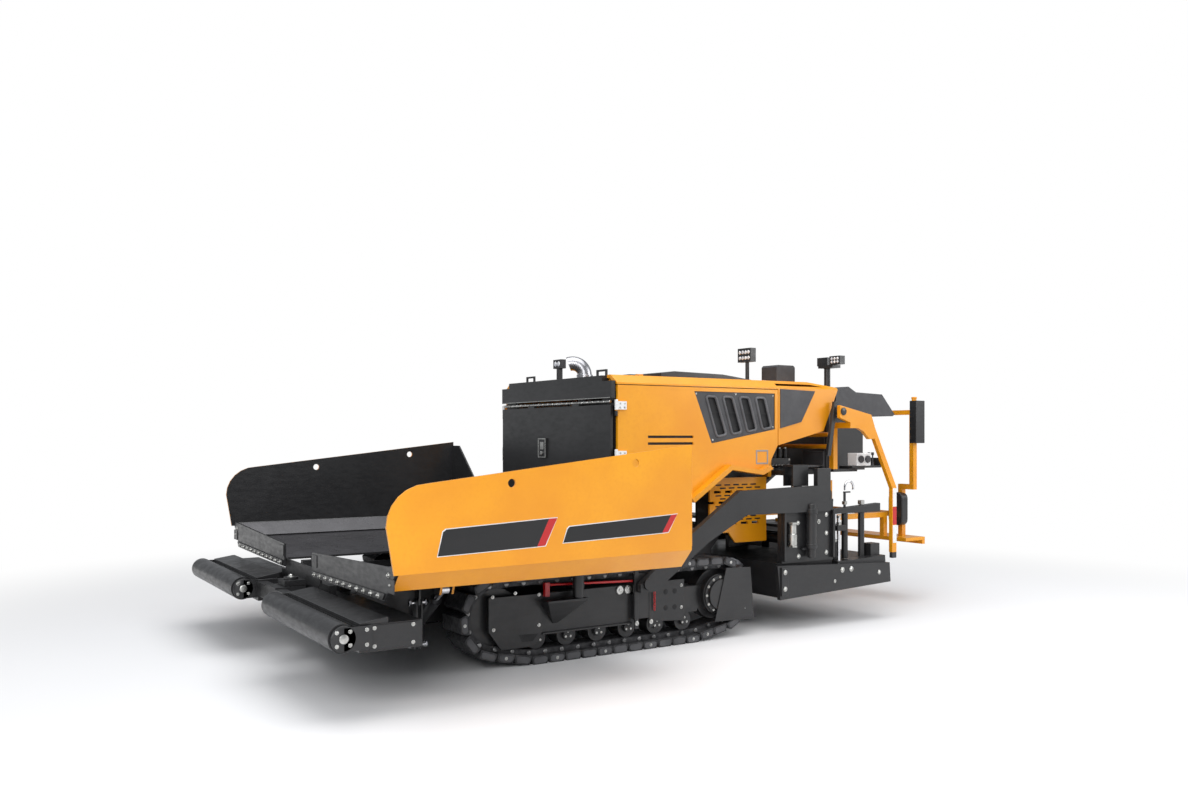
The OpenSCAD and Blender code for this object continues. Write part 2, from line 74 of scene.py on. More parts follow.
class Shader:
    """A material's node tree with its principled shader, and short ways to add nodes."""

    def __init__(self, name):
        self.material = bpy.data.materials.new(name)
        self.material.use_nodes = True
        self.tree = self.material.node_tree
        self.principled = self.tree.nodes["Principled BSDF"]
        self.place = self.add("ShaderNodeTexCoord").outputs["Object"]

    def add(self, kind, **settings):
        node = self.tree.nodes.new(kind)
        for key, value in settings.items():
            setattr(node, key, value)
        return node

    def link(self, output, target):
        self.tree.links.new(output, target)

    def set(self, **sockets):
        for key, value in sockets.items():
            socket = self.principled.inputs[key.replace("_", " ")]
            socket.default_value = (*value, 1) if isinstance(value, tuple) else value

    def noise(self, scale, detail=4, stretch=None):
        texture = self.add("ShaderNodeTexNoise")
        texture.inputs["Scale"].default_value = scale
        texture.inputs["Detail"].default_value = detail
        source = self.place
        if stretch:
            mapping = self.add("ShaderNodeMapping")
            mapping.inputs["Scale"].default_value = stretch
            self.link(source, mapping.inputs["Vector"])
            source = mapping.outputs["Vector"]
        self.link(source, texture.inputs["Vector"])
        return texture.outputs["Fac"]

    def ramp(self, value, low, high, to_low, to_high):
        mapped = self.add("ShaderNodeMapRange")
        limits = (("From Min", low), ("From Max", high), ("To Min", to_low), ("To Max", to_high))
        for key, number in limits:
            mapped.inputs[key].default_value = number
        self.link(value, mapped.inputs["Value"])
        return mapped.outputs["Result"]

    def mix(self, factor, first, second):
        mixed = self.add("ShaderNodeMix", data_type="RGBA")
        self.link(factor, mixed.inputs["Factor"])
        for socket, colour in ((mixed.inputs["A"], first), (mixed.inputs["B"], second)):
            if isinstance(colour, tuple):
                socket.default_value = (*colour, 1)
            else:
                self.link(colour, socket)
        return mixed.outputs["Result"]

    def colour(self, output):
        self.link(output, self.principled.inputs["Base Color"])

    def roughness(self, output):
        self.link(output, self.principled.inputs["Roughness"])

    def bump(self, height, distance, strength):
        bumped = self.add("ShaderNodeBump")
        bumped.inputs["Distance"].default_value = distance
        bumped.inputs["Strength"].default_value = strength
        self.link(height, bumped.inputs["Height"])
        self.link(bumped.outputs["Normal"], self.principled.inputs["Normal"])


def paint(name, fresh, faded, gloss, spread, coat=0.0, metallic=0.0):
    """Sprayed paint: slow drift of colour, faint scuffs in the gloss, and orange peel."""
    shader = Shader(name)
    drift = shader.ramp(shader.noise(2.2, 3), 0.35, 0.72, 0, 1)
    fine = shader.ramp(shader.noise(55, 6), 0.45, 0.75, 0, 0.35)
    shader.colour(shader.mix(fine, shader.mix(drift, fresh, faded), faded))
    scuffs = shader.noise(14, 8, (1, 1, 3))
    shader.roughness(shader.ramp(scuffs, 0.3, 0.7, gloss - spread, gloss + spread))
    shader.bump(shader.noise(420, 2), 0.0004, 0.35)
    shader.set(Metallic=metallic, Coat_Weight=coat, Coat_Roughness=0.12)
    return shader.material


def moulded_plastic(name, fresh, faded, gloss):
    """Textured moulded plastic."""
    shader = Shader(name)
    shader.colour(shader.mix(shader.ramp(shader.noise(9, 5), 0.35, 0.7, 0, 1), fresh, faded))
    shader.roughness(shader.ramp(shader.noise(30, 6), 0.3, 0.7, gloss - 0.06, gloss + 0.08))
    shader.bump(shader.noise(900, 3), 0.0006, 0.5)
    return shader.material


def worn_metal(name, bright, dark, gloss, grain=(1, 1, 1)):
    """Bare or plated steel with smears along its grain."""
    shader = Shader(name)
    shader.colour(shader.mix(shader.ramp(shader.noise(18, 7), 0.35, 0.7, 0, 1), bright, dark))
    shader.roughness(shader.ramp(shader.noise(40, 6, grain), 0.3, 0.7, gloss - 0.07, gloss + 0.1))
    shader.bump(shader.noise(260, 5, grain), 0.0003, 0.4)
    shader.set(Metallic=1.0)
    return shader.material


def cast_track(name):
    """Dark shoes, rubbed paler in patches, with a coarse cast grain."""
    shader = Shader(name)
    patches = shader.ramp(shader.noise(26, 8), 0.45, 0.68, 0, 1)
    shader.colour(shader.mix(patches, RUBBER, RUBBER_WORN))
    shader.roughness(shader.ramp(shader.noise(60, 6), 0.3, 0.7, 0.45, 0.8))
    shader.bump(shader.noise(170, 8), 0.0015, 0.6)
    return shader.material


def clear_lens(name, tint):
    """Ribbed lamp glass."""
    shader = Shader(name)
    shader.colour(shader.mix(shader.ramp(shader.noise(30, 2), 0.4, 0.6, 0, 1), tint, WHITE))
    shader.bump(shader.noise(350, 1), 0.001, 0.5)
    shader.set(Roughness=0.08, Coat_Weight=1.0, Coat_Roughness=0.03)
    return shader.material


yellow = paint("yellow_paint", YELLOW, YELLOW_DEEP, 0.36, 0.07, coat=0.35)
black = paint("black_paint", BLACK, BLACK_DUSTY, 0.4, 0.09, coat=0.12)
grey = moulded_plastic("grey_plastic", GREY, GREY_PALE, 0.52)
track = cast_track("track_steel")
chrome = worn_metal("chrome", CHROME, (0.62, 0.62, 0.65), 0.14)
pipe_steel = worn_metal("pipe_steel", (0.46, 0.46, 0.48), (0.3, 0.3, 0.32), 0.3)
steel = worn_metal("bare_steel", STEEL, STEEL_DARK, 0.4, (1, 8, 1))
zinc = worn_metal("zinc_bolts", (0.62, 0.62, 0.6), (0.4, 0.4, 0.38), 0.3)
red = paint("red_paint", RED, (0.42, 0.008, 0.01), 0.35, 0.06, coat=0.3)
white = paint("white_strip", WHITE, (0.7, 0.7, 0.7), 0.3, 0.05, coat=0.4)
lens = clear_lens("lamp_lens", (0.55, 0.56, 0.6))
amber_lens = clear_lens("amber_lens", (0.75, 0.16, 0.01))
hopper_floor = paint("hopper_floor", (0.055, 0.054, 0.058), (0.085, 0.083, 0.09), 0.33, 0.08, metallic=0.35)
vinyl = paint("black_film", (0.006, 0.006, 0.007), (0.01, 0.01, 0.011), 0.34, 0.05, coat=0.1)
pale_plate = paint("grey_frame", (0.3, 0.3, 0.3), (0.24, 0.24, 0.25), 0.35, 0.06)
# Near-black, for thin sheets that paint the shade seen inside holes and slots.
painted_shade_black = moulded_plastic("painted_shade_sheet", (0.006, 0.006, 0.007), (0.014, 0.014, 0.015), 0.7)
grey_rim = moulded_plastic("grey_rim", (0.085, 0.085, 0.092), (0.12, 0.12, 0.128), 0.42)
rubber = moulded_plastic("hose_rubber", RUBBER, RUBBER_WORN, 0.5)
scuffed = moulded_plastic("scuffed_shoes", (0.05, 0.05, 0.054), (0.095, 0.095, 0.1), 0.6)
worn_pin = worn_metal("worn_pins", (0.34, 0.34, 0.34), (0.1, 0.1, 0.1), 0.42)

FINISH = {"yellow_paint": yellow, "black_paint": black, "grey_plastic": grey, "track_steel": track,
          "chrome": chrome, "bare_steel": steel}

# Finish and edges of the CAD nodes
EDGE_ROUND = 0.004
SHARP_ANGLE = math.radians(28)


def round_edges(piece, width):
    rounding = piece.modifiers.new("edges", "BEVEL")
    rounding.width = width
    rounding.segments = 2
    rounding.limit_method = "ANGLE"
    rounding.angle_limit = SHARP_ANGLE
    rounding.harden_normals = True


def shade_smooth(data):
    for polygon in data.polygons:
        polygon.use_smooth = True
    data.set_sharp_from_angle(angle=SHARP_ANGLE)


def dress_node(name, slot):
    node = NODES[name]
    node.data.materials.clear()
    node.data.materials.append(FINISH[slot])
    shade_smooth(node.data)
    round_edges(node, EDGE_ROUND)


for subpart in frame["record"]["subparts"]:
    dress_node(subpart["node"], subpart["material_slot"])


# Floor, light and camera
FLOOR_SIZE = 80
FADE_START, FADE_END = 2.6, 6.5
SKY_STRENGTH = 0.42


def make_floor():
    """A wide pale floor that fades to the white surround where it is seen or mirrored."""
    bpy.ops.mesh.primitive_plane_add(size=FLOOR_SIZE)
    floor = bpy.context.object
    floor.name = "floor"
    shader = Shader("floor")
    shader.set(Base_Color=FLOOR, Roughness=0.7, Specular_IOR_Level=0.2)
    glow = shader.add("ShaderNodeEmission")
    glow.inputs["Color"].default_value = (1, 1, 1, 1)
    geometry = shader.add("ShaderNodeNewGeometry")
    length = shader.add("ShaderNodeVectorMath", operation="LENGTH")
    shader.link(geometry.outputs["Position"], length.inputs[0])
    fade = shader.add("ShaderNodeMapRange", interpolation_type="SMOOTHSTEP")
    fade.inputs["From Min"].default_value = FADE_START
    fade.inputs["From Max"].default_value = FADE_END
    shader.link(length.outputs["Value"], fade.inputs["Value"])
    paths = shader.add("ShaderNodeLightPath")
    seen = shader.add("ShaderNodeMath", operation="MAXIMUM")
    shader.link(paths.outputs["Is Camera Ray"], seen.inputs[0])
    shader.link(paths.outputs["Is Glossy Ray"], seen.inputs[1])
    share = shader.add("ShaderNodeMath", operation="MULTIPLY")
    shader.link(fade.outputs["Result"], share.inputs[0])
    shader.link(seen.outputs["Value"], share.inputs[1])
    blend = shader.add("ShaderNodeMixShader")
    shader.link(share.outputs["Value"], blend.inputs["Fac"])
    shader.link(shader.principled.outputs["BSDF"], blend.inputs[1])
    shader.link(glow.outputs["Emission"], blend.inputs[2])
    shader.link(blend.outputs["Shader"], shader.tree.nodes["Material Output"].inputs["Surface"])
    floor.data.materials.append(shader.material)


def make_world():
    """White where the camera sees it, a softer sky for the light itself."""
    world = bpy.data.worlds.new("studio")
    bpy.context.scene.world = world
    world.use_nodes = True
    tree = world.node_tree
    seen = tree.nodes["Background"]
    seen.inputs["Color"].default_value = (1, 1, 1, 1)
    seen.inputs["Strength"].default_value = 1.0
    sky = tree.nodes.new("ShaderNodeBackground")
    sky.inputs["Color"].default_value = (0.93, 0.96, 1.0, 1)
    sky.inputs["Strength"].default_value = SKY_STRENGTH
    paths = tree.nodes.new("ShaderNodeLightPath")
    blend = tree.nodes.new("ShaderNodeMixShader")
    tree.links.new(paths.outputs["Is Camera Ray"], blend.inputs["Fac"])
    tree.links.new(sky.outputs["Background"], blend.inputs[1])
    tree.links.new(seen.outputs["Background"], blend.inputs[2])
    tree.links.new(blend.outputs["Shader"], tree.nodes["World Output"].inputs["Surface"])


def area_light(name, at, aim, size, watts):
    lamp = bpy.data.lights.new(name, "AREA")
    lamp.shape = "RECTANGLE"
    lamp.size, lamp.size_y = size
    lamp.energy = watts
    holder = bpy.data.objects.new(name, lamp)
    holder.location = at
    holder.rotation_euler = (Vector(aim) - Vector(at)).to_track_quat("-Z", "Y").to_euler()
    bpy.context.scene.collection.objects.link(holder)


def make_camera():
    data = bpy.data.cameras.new("photo_view")
    data.sensor_width = SENSOR_MM
    data.lens = SENSOR_MM * FOCAL_PIXELS / PHOTO_WIDTH
    data.shift_y = HORIZON_BELOW_MIDDLE / PHOTO_WIDTH
    camera = bpy.data.objects.new("photo_view", data)
    camera.location = CAMERA_AT
    camera.rotation_euler = CAMERA_ALONG.to_track_quat("-Z", "Y").to_euler()
    bpy.context.scene.collection.objects.link(camera)
    bpy.context.scene.camera = camera


make_floor()
make_world()
area_light("overhead", (0.5, 1.0, 6.5), (0, 0, 0.5), (7, 6), 430)
area_light("front_left", (5.5, 5.5, 3.6), (0.4, 0.4, 0.7), (4, 3), 260)
area_light("rear_left", (-5.0, 4.5, 3.4), (-0.6, 0.4, 0.9), (3, 3), 150)
make_camera()


# Curves and small solids that the fittings are made of
def arc(start, end, steps):
    """Angles in radians from one angle to another in degrees."""
    return [math.radians(start + (end - start) * k / steps) for k in range(steps + 1)]


def smooth_path(points, steps):
    """Points along a soft curve through the given ones."""
    points = [Vector(point) for point in points]
    ends = [2 * points[0] - points[1], *points, 2 * points[-1] - points[-2]]
    path = []
    for before, start, end, after in zip(ends, ends[1:], ends[2:], ends[3:]):
        square = 2 * before - 5 * start + 4 * end - after
        cube = 3 * start - before - 3 * end + after
        for step in range(steps):
            t = step / steps
            path.append(0.5 * (2 * start + (end - before) * t + square * t ** 2 + cube * t ** 3))
    return [*path, points[-1]]


def rounded_loop(corners, radius, steps=4):
    """A closed flat outline with its corners cut to soft curves."""
    loop = []
    for i, corner in enumerate(corners):
        corner = Vector(corner)
        before = (Vector(corners[i - 1]) - corner).normalized() * radius
        after = (Vector(corners[(i + 1) % len(corners)]) - corner).normalized() * radius
        for step in range(steps + 1):
            t = step / steps
            loop.append(corner + before * (1 - t) ** 2 + after * t ** 2)
    return loop


class Piece:
    """Small solids of one finish, gathered into one mesh that rides on a body."""

    begun = []

    def __init__(self, name, body, finish, rounding=0.0):
        Piece.begun.append(self)
        self.name = name
        self.body = body
        self.finish = finish
        self.rounding = rounding
        self.mesh = bmesh.new()

    def skin(self, rings, closed=False):
        """Walls between rings of as many points, with flat ends or closed to a loop."""
        made = [[self.mesh.verts.new(point) for point in ring] for ring in rings]
        for near, far in zip(made, [*made[1:], made[0]] if closed else made[1:]):
            for i in range(len(near)):
                j = (i + 1) % len(near)
                self.mesh.faces.new((near[i], near[j], far[j], far[i]))
        if not closed:
            self.mesh.faces.new(made[0])
            self.mesh.faces.new(made[-1])

    def prism(self, outline, along):
        self.skin([outline, [Vector(point) + Vector(along) for point in outline]])

    def sheet(self, outline, y, depth, s=1):
        """A plate cut to a side view, (x, z), from a distance off the middle outwards."""
        self.prism([(x, s * y, z) for x, z in outline], (0, s * depth, 0))

    def box(self, low, high):
        (x0, y0, z0), (x1, y1, z1) = low, high
        self.prism([(x0, y0, z0), (x1, y0, z0), (x1, y1, z0), (x0, y1, z0)], (0, 0, z1 - z0))

    def side_box(self, s, low, high):
        """A box on one side of the machine, with y as the distance from the middle."""
        (x0, inner, z0), (x1, outer, z1) = low, high
        y0, y1 = sorted((s * inner, s * outer))
        self.box((x0, y0, z0), (x1, y1, z1))

    def turned(self, at, along, profile, sides=20):
        """A turned solid: its radii at distances along an axis."""
        axis = Vector(along).normalized()
        across = axis.orthogonal().normalized()
        other = axis.cross(across)
        angles = [2 * math.pi * i / sides for i in range(sides)]
        self.skin([[Vector(at) + axis * distance + radius * (math.cos(a) * across + math.sin(a) * other)
                    for a in angles] for distance, radius in profile])

    def collar(self, at, along, radius, height, sides, edge=0.002):
        """A ring or nut with both rims broken."""
        self.turned(at, along, [(0, radius - edge), (0.002, radius), (height - 0.002, radius),
                                (height, radius - edge)], sides)

    def rod(self, start, end, radius, sides=20):
        length = (Vector(end) - Vector(start)).length
        edge = min(0.2 * radius, 0.2 * length)
        self.turned(start, Vector(end) - Vector(start), [(0, radius - edge), (edge, radius),
                                                         (length - edge, radius), (length, radius - edge)], sides)

    def tube(self, path, radius, sides=12, closed=False):
        rings = []
        across = (path[1] - path[0]).orthogonal().normalized()
        last = len(path) - 1
        angles = [2 * math.pi * k / sides for k in range(sides)]
        for i, point in enumerate(path):
            if closed:
                before, after = path[i - 1], path[(i + 1) % len(path)]
            else:
                before, after = path[max(i - 1, 0)], path[min(i + 1, last)]
            along = (after - before).normalized()
            across = (across - along * across.dot(along)).normalized()
            other = along.cross(across)
            rings.append([point + radius * (math.cos(a) * across + math.sin(a) * other) for a in angles])
        self.skin(rings, closed)

    def bolt(self, at, normal, radius):
        """A washer, a hexagon head with a chamfer and the end of the thread."""
        normal = Vector(normal).normalized()
        at = Vector(at)
        washer = [(-0.001, 1.7 * radius), (0.22 * radius, 1.7 * radius), (0.3 * radius, 1.55 * radius)]
        head = [(0, radius), (0.62 * radius, radius), (0.8 * radius, 0.82 * radius)]
        thread = [(0, 0.5 * radius), (0.3 * radius, 0.42 * radius)]
        self.turned(at, normal, washer, 18)
        self.turned(at + 0.3 * radius * normal, normal, head, 6)
        self.turned(at + 1.1 * radius * normal, normal, thread, 12)

    def side_bolts(self, s, places):
        """Bolts on faces that look outwards: x, distance from the middle, z, radius."""
        for x, y, z, radius in places:
            self.bolt((x, s * y, z), (0, s, 0), radius)

    def done(self):
        bmesh.ops.recalc_face_normals(self.mesh, faces=self.mesh.faces[:])
        data = bpy.data.meshes.new(self.name)
        self.mesh.to_mesh(data)
        self.mesh.free()
        data.materials.append(self.finish)
        shade_smooth(data)
        piece = bpy.data.objects.new(self.name, data)
        bpy.context.scene.collection.objects.link(piece)
        if self.rounding:
            round_edges(piece, self.rounding)
        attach(piece, self.body)


def outer_face(node, s):
    """The y of a node's face on its side of the machine."""
    low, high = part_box(node)
    return high.y if s > 0 else low.y


# Hopper wings: yellow outside, black inside, with a worn floor
SHEET_EDGE = 0.02
FLOOR_REACH = 1.42
FLOOR_BELOW = 0.62

# Outlines of the plain panels on a wing's side, rear end slanted, (x, z)
PANELS = (((2.012, 0.724), (1.985, 0.834), (1.969, 0.845), (1.424, 0.871), (1.491, 0.739)),
          ((1.343, 0.749), (1.318, 0.815), (1.306, 0.826), (0.68, 0.858), (0.739, 0.767)))
PANEL_ENDS = (((1.424, 0.871), (1.378, 0.873), (1.446, 0.741), (1.491, 0.739)),
              ((0.68, 0.858), (0.64, 0.861), (0.699, 0.769), (0.739, 0.767)))
PANEL_BORDER = 0.004
WELD_BEADS = 46
WELD_PITCH = 0.011


def finish_wing(side, s):
    node = NODES[f"wing_{side}"]
    node.data.materials.append(black)
    node.data.materials.append(hopper_floor)
    sheet_inside = abs(outer_face(f"wing_{side}", s)) - SHEET_EDGE
    for polygon in node.data.polygons:
        normal, centre = polygon.normal, polygon.center
        at_edge = abs(centre.y) > sheet_inside and abs(normal.y) < 0.5
        outside = normal.y * s > 0.25 or normal.x < -0.7 or at_edge
        floor = normal.z > 0.85 and abs(centre.y) < FLOOR_REACH and centre.z < FLOOR_BELOW
        polygon.material_index = 0 if outside else 2 if floor else 1


def dress_wing(side, s):
    body = f"hopper_{side}"
    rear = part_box(f"wing_{side}")[0].x
    face = outer_face(f"wing_{side}", s)
    border = Piece(f"panel_border_{side}", body, white)
    for panel, end in zip(PANELS, PANEL_ENDS):
        whole = [Vector(point) for point in (*panel[:-1], *end[1:3], panel[-1])]
        middle = sum(whole, Vector((0, 0))) / len(whole)
        grown = [point + Vector([math.copysign(PANEL_BORDER, part) for part in point - middle]) for point in whole]
        border.sheet(grown, abs(face) - 0.001, 0.0016, s)
    fields = Piece(f"panel_{side}", body, vinyl)
    ends = Piece(f"panel_end_{side}", body, red)
    for panel, end in zip(PANELS, PANEL_ENDS):
        fields.sheet(panel, abs(face), 0.0022, s)
        ends.sheet(end, abs(face), 0.0022, s)
    weld = Piece(f"wing_weld_{side}", body, yellow)
    for i in range(WELD_BEADS):
        weld.turned((rear + 0.001, face - s * 0.003, 0.684 + WELD_PITCH * i), UP,
                    [(0, 0.0025), (0.005, 0.0052), (0.012, 0.0025)], 8)
    # A paler grey strip laid along the slope above the hopper floor.
    strip = Piece(f"wing_slope_strip_{side}", body, hopper_floor, 0.002)
    section = ((1.4, 0.5805), (1.488, 0.664), (1.484, 0.67), (1.392, 0.588))
    strip.prism([(rear + 0.02, s * y, z) for y, z in section], (1.6, 0, 0))


def dress_flap(side, s):
    """Front strip of a flap with its row of bolts, and the stiffeners at its ends."""
    body = f"hopper_{side}"
    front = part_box(f"flap_{side}")[1].x
    bolts = Piece(f"flap_bolts_{side}", body, zinc)
    for i in range(11):
        y = 0.335 + 0.096 * i
        bolts.bolt((front + 0.008, s * y, 0.5205 + 0.0143 * (y - 0.29)), FORWARD, 0.0085)
    for y, z in ((1.405, 0.64), (1.432, 0.598)):
        bolts.bolt((front, s * y, z), FORWARD, 0.008)
    stiffeners = Piece(f"flap_stiffeners_{side}", body, black, 0.0015)
    for y in (0.275, 1.395):
        stiffeners.side_box(s, (front - 0.0005, y, 0.56), (front + 0.004, y + 0.085, 0.626))
    strip = Piece(f"flap_strip_{side}", body, black, 0.001)
    section = ((0.29, 0.506), (0.29, 0.536), (1.372, 0.552), (1.345, 0.52))
    strip.prism([(2.206, s * y, z) for y, z in section], (0.009, 0, 0))


# Push beam and its rollers
ROLLER_X, ROLLER_Z = 2.432, 0.38
BEAM_PIN_X = 2.245
BEAM_PLAN = ((2.354, 0.29), (2.354, 1.43), (2.054, 1.43), (2.054, 0.56), (2.184, 0.545), (2.232, 0.48),
             (2.237, 0.29))
BEAM_APRON = ((2.354, 0.43), (2.354, 0.438), (2.232, 0.456), (2.217, 0.456), (2.217, 0.43))


def form_push_beam():
    """The beam's box and apron, and the brackets that hold the rollers."""
    beam = Piece("push_beam_box", "push_beam", black, 0.003)
    for _, s in SIDES:
        beam.prism([(x, s * y, 0.305) for x, y in BEAM_PLAN], (0, 0, 0.125))
        beam.sheet(BEAM_APRON, 0.33, 1.1, s)
        for y in (0.3165, 1.4335):
            beam.turned((ROLLER_X, s * y, ROLLER_Z), (0, s, 0),
                        [(0, 0.056), (0.001, 0.058), (0.014, 0.058), (0.015, 0.056)], 40)
            beam.side_box(s, (2.312, y, 0.322), (ROLLER_X, y + 0.015, 0.43))


def dress_push_beam():
    """Bolts, shaft ends and end plates."""
    bolts = Piece("push_beam_bolts", "push_beam", zinc)
    caps = Piece("roller_shaft_ends", "push_beam", zinc)
    plates = Piece("push_beam_end_plates", "push_beam", black, 0.0015)
    for _, s in SIDES:
        for outward, y in ((1, 1.448), (-1, 0.317)):
            out = (0, s * outward, 0)
            for a in arc(45, 315, 3):
                bolts.bolt((ROLLER_X + 0.043 * math.cos(a), s * y, ROLLER_Z + 0.043 * math.sin(a)), out, 0.0055)
        bolts.side_bolts(s, [(2.325, 1.4485, z, 0.0055) for z in (0.345, 0.412)])
        bolts.side_bolts(s, [(x, 1.436, z, 0.0055) for x in (2.285, 2.1) for z in (0.33, 0.412)])
        for outward, y in ((1, 1.45), (-1, 0.315)):
            caps.turned((ROLLER_X, s * y, ROLLER_Z), (0, s * outward, 0),
                        [(0, 0.021), (0.004, 0.021), (0.006, 0.017)], 24)
        plates.side_box(s, (2.07, 1.43, 0.316), (2.306, 1.436, 0.424))
    bolts.bolt((BEAM_PIN_X, 0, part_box("push_beam")[1].z - 0.001), UP, 0.012)


def dress_links(side, s):
    """Flat links that hang under a wing on two cross pins."""
    body = f"hopper_{side}"
    x, y = 1.835, 0.86
    pin_heights = (0.41, 0.19)
    eye = 0.024
    links = Piece(f"hanging_links_{side}", body, black, 0.0015)
    links.side_box(s, (x - 0.006, y - 0.03, 0.43), (x + 0.006, y + 0.03, 0.55))
    for offset in (-0.018, 0.01):
        outline = []
        for centre, start in zip(pin_heights, (0, 180)):
            outline += [(x + offset, s * (y + eye * math.cos(a)), centre + eye * math.sin(a))
                        for a in arc(start, start + 180, 8)]
        links.prism(outline, (0.008, 0, 0))
    links.side_box(s, (x - 0.006, y - eye, 0.396), (x + 0.006, y + eye, 0.431))
    pins = Piece(f"hanging_link_pins_{side}", body, chrome)
    for z in pin_heights:
        pins.rod((x - 0.05, s * y, z), (x + 0.05, s * y, z), 0.011)
        for end in (-0.05, 0.038):
            pins.collar((x + end, s * y, z), FORWARD, 0.017, 0.012, 6)


# Tracks: link plates, pins and shoe faces around the loop
TRACK_LOOP = ((0.02, 0.235), (1.13, 0.235), (1.358, 0.279), (-0.205, 0.279))
DRIVE_X, DRIVE_Z = TRACK_LOOP[3]
CHAIN_RADIUS = 0.19
SHOES = 40
CHAIN_FACE = 0.81
SHOE_END = 0.865
SHOE_OUTSIDE = 0.021
SHOE_FACE = ((-0.042, -0.01), (-0.032, -0.017), (0.032, -0.017), (0.042, -0.01),
             (0.042, 0.008), (0.03, 0.018), (-0.03, 0.018), (-0.042, 0.008))
PIN_INSIDE = 0.014
LINK_RADIUS = 0.019
LINK_WAIST = 0.013
BOTTOM_ROLLERS = (0.06, 0.27, 0.48, 0.69, 0.9, 1.1)
BOTTOM_ROLLER_Z = 0.1373


def loop_points(count):
    """Points spaced evenly along the chain with the direction of travel, (x, z, heading)."""
    corners = [Vector(corner) for corner in TRACK_LOOP]
    runs = []
    for i, corner in enumerate(corners):
        after = corners[(i + 1) % 4]
        heading = math.atan2(after.y - corner.y, after.x - corner.x) % (2 * math.pi)
        onward = corners[(i + 2) % 4] - after
        turn = (math.atan2(onward.y, onward.x) - heading) % (2 * math.pi)
        runs.append((corner, heading, (after - corner).length, turn))
    total = sum(length + turn * CHAIN_RADIUS for _, _, length, turn in runs)
    points = []
    for k in range(count):
        left = total * k / count
        for corner, heading, length, turn in runs:
            along = Vector((math.cos(heading), math.sin(heading)))
            bend = min(max((left - length) / CHAIN_RADIUS, 0), turn)
            if left <= length + turn * CHAIN_RADIUS:
                angle = heading + bend
                at = corner + along * min(left, length) + CHAIN_RADIUS * Vector((math.sin(angle), -math.cos(angle)))
                points.append((at.x, at.y, angle))
                break
            left -= length + turn * CHAIN_RADIUS
    return points


def dress_track(side, s):
    out = Vector((0, s, 0))
    pins_at = [Vector((x - PIN_INSIDE * math.sin(a), 0, z + PIN_INSIDE * math.cos(a)))
               for x, z, a in loop_points(2 * SHOES)[1::2]]
    links = Piece(f"track_links_{side}", "tractor", track, 0.001)
    pins = Piece(f"track_pins_{side}", "tractor", worn_pin)
    for i, pin in enumerate(pins_at):
        after = pins_at[(i + 1) % SHOES]
        along = (after - pin).normalized()
        across = Vector((-along.z, 0, along.x))
        middle = (pin + after) / 2
        face = out * (CHAIN_FACE - 0.001 + 0.0055 * (i % 2))
        outline = [pin - LINK_RADIUS * (math.cos(t) * along + math.sin(t) * across) for t in arc(-75, 75, 6)]
        outline += [middle - LINK_WAIST * across]
        outline += [after + LINK_RADIUS * (math.cos(t) * along + math.sin(t) * across) for t in arc(-75, 75, 6)]
        outline += [middle + LINK_WAIST * across]
        links.prism([point + face for point in outline], out * 0.006)
        pins.turned(pin + out * CHAIN_FACE, out, [(0, 0.0125), (0.0145, 0.0125), (0.0165, 0.0095)], 16)
    faces = Piece(f"shoe_faces_{side}", "tractor", scuffed, 0.0015)
    bolts = Piece(f"shoe_bolts_{side}", "tractor", zinc)
    for i, (x, z, a) in enumerate(loop_points(SHOES)):
        along = Vector((math.cos(a), 0, math.sin(a)))
        outward = Vector((math.sin(a), 0, -math.cos(a)))
        middle = Vector((x, 0, z)) + outward * SHOE_OUTSIDE
        faces.prism([middle + along * u + outward * v + out * (SHOE_END - 0.001) for u, v in SHOE_FACE], out * 0.0035)
        if i % 3 == 0:
            bolts.bolt(middle + out * (SHOE_END + 0.0025), out, 0.0055)


